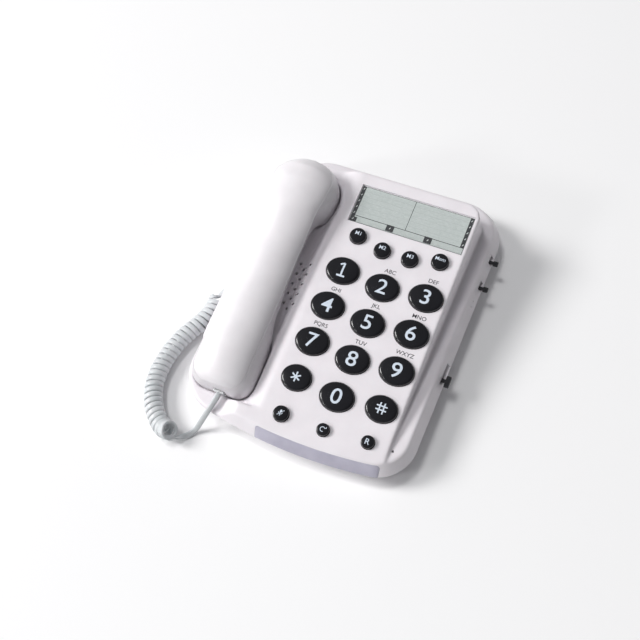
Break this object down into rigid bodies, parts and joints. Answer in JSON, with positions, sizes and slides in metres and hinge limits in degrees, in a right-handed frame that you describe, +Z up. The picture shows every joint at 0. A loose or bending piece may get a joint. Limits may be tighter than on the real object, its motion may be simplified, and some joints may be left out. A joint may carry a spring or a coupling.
{
  "type": "corded desk telephone",
  "caption": "Corded desk telephone with large oval keys, sloping key panel, side cradle with lift-off handset and curly handset cord.",
  "frame": {"origin": "middle of the base's box at the bottom of its feet, the cord left out", "axes": "+Z up, +Y to the back of the telephone, +X to the right as it is used"},
  "size_m": [0.2087, 0.2578, 0.0784],
  "materials": {
    "shell": "satin moulded, ivory with a lilac cast",
    "handset_shell": "satin moulded, ivory with a lilac cast",
    "light_lens": "translucent, ribbed inside",
    "circuit_board": "solder mask",
    "lamp": "diffused",
    "clear_cover": "clear acrylic",
    "card": "printed card",
    "key_rubber": "moulded silicone",
    "steel": "zinc plated",
    "spring_steel": "drawn wire",
    "black_plastic": "fine texture",
    "foot_rubber": "matt",
    "knob": "satin",
    "key": "smooth, domed, printed",
    "plug": "clear moulded",
    "cord": "soft satin vinyl"
  },
  "bodies": {
    "base": {"bottom_shell": "shell", "top_shell": "shell", "light_strip": "light_lens", "light_board": "circuit_board", "call_lamps": "lamp", "window_cover": "clear_cover", "index_card": "card", "key_mat": "key_rubber", "main_board": "circuit_board", "ballast_plate": "steel", "loudspeaker": "black_plastic", "speaker_magnet": "steel", "base_microphone": "black_plastic", "handset_jack": "black_plastic", "line_jack": "black_plastic", "line_jack_frame": "shell", "hook_switch": "black_plastic", "hook_spring": "spring_steel", "switch_bodies": "black_plastic", "volume_control": "black_plastic", "feet": "foot_rubber", "case_screws": "steel", "board_screws": "steel", "base_plug": "plug", "cord_coil": "cord", "cord_lead": "cord", "cord_tail": "cord"},
    "handset": {"handset_outer_shell": "handset_shell", "handset_inner_shell": "handset_shell", "ear_receiver": "black_plastic", "mouth_microphone": "black_plastic", "handset_weight": "steel", "handset_socket": "black_plastic", "handset_screws": "steel", "handset_plug": "plug"},
    "hook_plunger": {"hook_plunger": "shell"},
    "tone_switch": {"tone_switch": "knob"},
    "ringer_switch": {"ringer_switch": "knob"},
    "volume_slider": {"volume_slider": "knob"},
    "key_1": {"key_1": "key"},
    "key_2": {"key_2": "key"},
    "key_3": {"key_3": "key"},
    "key_4": {"key_4": "key"},
    "key_5": {"key_5": "key"},
    "key_6": {"key_6": "key"},
    "key_7": {"key_7": "key"},
    "key_8": {"key_8": "key"},
    "key_9": {"key_9": "key"},
    "key_star": {"key_star": "key"},
    "key_0": {"key_0": "key"},
    "key_hash": {"key_hash": "key"},
    "key_m1": {"key_m1": "key"},
    "key_m2": {"key_m2": "key"},
    "key_m3": {"key_m3": "key"},
    "key_mem": {"key_mem": "key"},
    "key_mute": {"key_mute": "key"},
    "key_redial": {"key_redial": "key"},
    "key_flash": {"key_flash": "key"}
  },
  "joints": [
    {"name": "handset_lift", "type": "slide", "parent": "base", "child": "handset", "axis": [0, -0.1564, 0.9877], "range_m": [0, 0.12]},
    {"name": "hook", "type": "slide", "parent": "base", "child": "hook_plunger", "axis": [0, -0.1564, 0.9877], "range_m": [0, 0.004], "stiffness_N_per_m": 60, "springref_m": 0.005, "deforming": ["hook_spring"]},
    {"name": "tone_select", "type": "slide", "parent": "base", "child": "tone_switch", "axis": [0, 1, 0], "range_m": [0, 0.003]},
    {"name": "ringer_select", "type": "slide", "parent": "base", "child": "ringer_switch", "axis": [0, 1, 0], "range_m": [0, 0.003]},
    {"name": "volume_set", "type": "slide", "parent": "base", "child": "volume_slider", "axis": [0, 1, 0], "range_m": [0, 0.009]},
    {"name": "press_1", "type": "slide", "parent": "base", "child": "key_1", "axis": [0, 0.1564, -0.9877], "range_m": [0, 0.0015], "stiffness_N_per_m": 500, "springref_m": -0.0004},
    {"name": "press_2", "type": "slide", "parent": "base", "child": "key_2", "axis": [0, 0.1564, -0.9877], "range_m": [0, 0.0015], "stiffness_N_per_m": 500, "springref_m": -0.0004},
    {"name": "press_3", "type": "slide", "parent": "base", "child": "key_3", "axis": [0, 0.1564, -0.9877], "range_m": [0, 0.0015], "stiffness_N_per_m": 500, "springref_m": -0.0004},
    {"name": "press_4", "type": "slide", "parent": "base", "child": "key_4", "axis": [0, 0.1564, -0.9877], "range_m": [0, 0.0015], "stiffness_N_per_m": 500, "springref_m": -0.0004},
    {"name": "press_5", "type": "slide", "parent": "base", "child": "key_5", "axis": [0, 0.1564, -0.9877], "range_m": [0, 0.0015], "stiffness_N_per_m": 500, "springref_m": -0.0004},
    {"name": "press_6", "type": "slide", "parent": "base", "child": "key_6", "axis": [0, 0.1564, -0.9877], "range_m": [0, 0.0015], "stiffness_N_per_m": 500, "springref_m": -0.0004},
    {"name": "press_7", "type": "slide", "parent": "base", "child": "key_7", "axis": [0, 0.1564, -0.9877], "range_m": [0, 0.0015], "stiffness_N_per_m": 500, "springref_m": -0.0004},
    {"name": "press_8", "type": "slide", "parent": "base", "child": "key_8", "axis": [0, 0.1564, -0.9877], "range_m": [0, 0.0015], "stiffness_N_per_m": 500, "springref_m": -0.0004},
    {"name": "press_9", "type": "slide", "parent": "base", "child": "key_9", "axis": [0, 0.1564, -0.9877], "range_m": [0, 0.0015], "stiffness_N_per_m": 500, "springref_m": -0.0004},
    {"name": "press_star", "type": "slide", "parent": "base", "child": "key_star", "axis": [0, 0.1564, -0.9877], "range_m": [0, 0.0015], "stiffness_N_per_m": 500, "springref_m": -0.0004},
    {"name": "press_0", "type": "slide", "parent": "base", "child": "key_0", "axis": [0, 0.1564, -0.9877], "range_m": [0, 0.0015], "stiffness_N_per_m": 500, "springref_m": -0.0004},
    {"name": "press_hash", "type": "slide", "parent": "base", "child": "key_hash", "axis": [0, 0.1564, -0.9877], "range_m": [0, 0.0015], "stiffness_N_per_m": 500, "springref_m": -0.0004},
    {"name": "press_m1", "type": "slide", "parent": "base", "child": "key_m1", "axis": [0, 0.1564, -0.9877], "range_m": [0, 0.0015], "stiffness_N_per_m": 500, "springref_m": -0.0004},
    {"name": "press_m2", "type": "slide", "parent": "base", "child": "key_m2", "axis": [0, 0.1564, -0.9877], "range_m": [0, 0.0015], "stiffness_N_per_m": 500, "springref_m": -0.0004},
    {"name": "press_m3", "type": "slide", "parent": "base", "child": "key_m3", "axis": [0, 0.1564, -0.9877], "range_m": [0, 0.0015], "stiffness_N_per_m": 500, "springref_m": -0.0004},
    {"name": "press_mem", "type": "slide", "parent": "base", "child": "key_mem", "axis": [0, 0.1564, -0.9877], "range_m": [0, 0.0015], "stiffness_N_per_m": 500, "springref_m": -0.0004},
    {"name": "press_mute", "type": "slide", "parent": "base", "child": "key_mute", "axis": [0, 0.1564, -0.9877], "range_m": [0, 0.0015], "stiffness_N_per_m": 500, "springref_m": -0.0004},
    {"name": "press_redial", "type": "slide", "parent": "base", "child": "key_redial", "axis": [0, 0.1564, -0.9877], "range_m": [0, 0.0015], "stiffness_N_per_m": 500, "springref_m": -0.0004},
    {"name": "press_flash", "type": "slide", "parent": "base", "child": "key_flash", "axis": [0, 0.1564, -0.9877], "range_m": [0, 0.0015], "stiffness_N_per_m": 500, "springref_m": -0.0004}
  ],
  "couplings": [
    {"joint": "hook", "follows": "handset_lift", "ratio": 0.0333}
  ]
}
